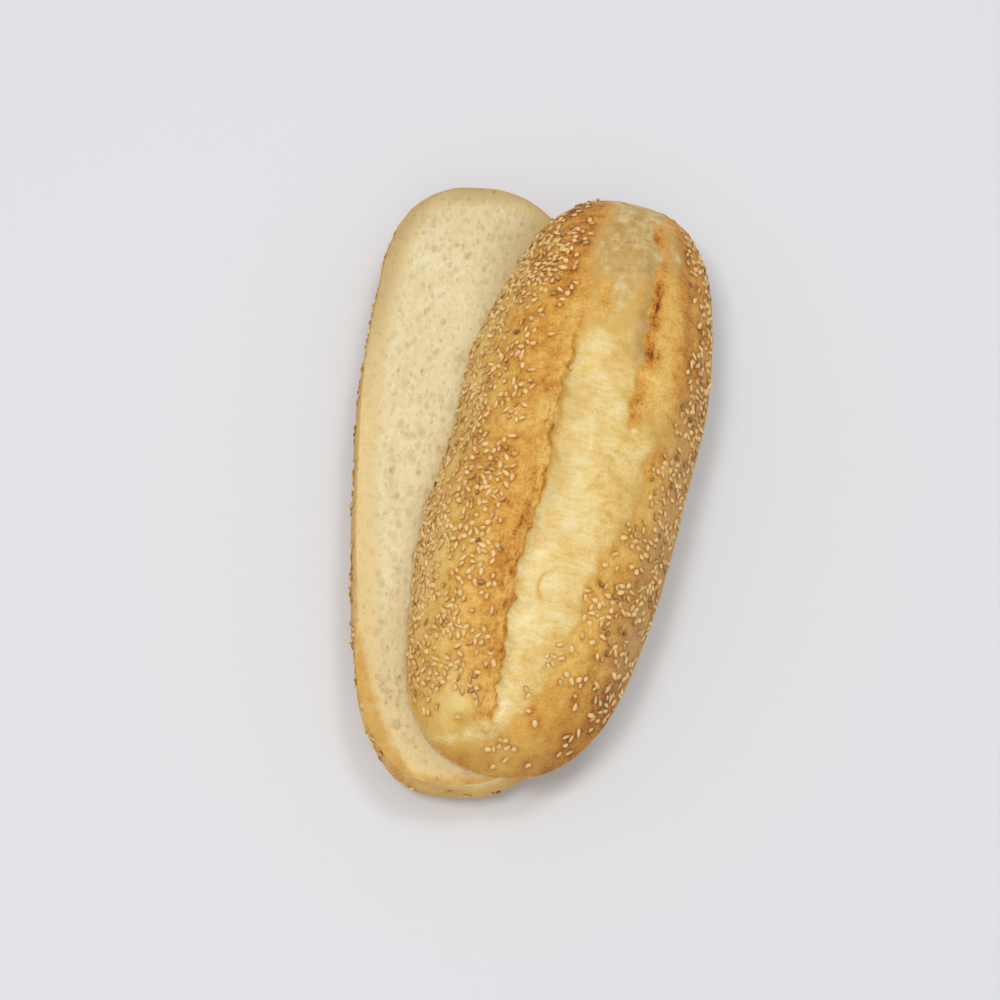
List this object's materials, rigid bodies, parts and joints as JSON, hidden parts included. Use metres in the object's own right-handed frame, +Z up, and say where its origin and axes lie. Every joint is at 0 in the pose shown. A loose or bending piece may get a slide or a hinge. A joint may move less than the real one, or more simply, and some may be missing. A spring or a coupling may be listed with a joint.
{
  "type": "hoagie roll",
  "caption": "Long sesame-seeded bread roll sliced in half: the bottom lies crumb side up and the slashed top rests on it, slid aside and turned. Bread for a sandwich.",
  "frame": {"origin": "under the middle of the whole, on the surface that the bottom half lies on", "axes": "+Y along the roll to its far end, +X to the side that the top half is slid to, +Z up"},
  "size_m": [0.135, 0.2374, 0.0622],
  "materials": {
    "crust": "baked bread crust, matte with a faint gloss where it is browned",
    "crumb": "soft open bread crumb, matte",
    "seed": "toasted sesame seed, satin"
  },
  "bodies": {
    "root": {"bottom_half": "crumb", "top_half": "crust"}
  },
  "joints": []
}
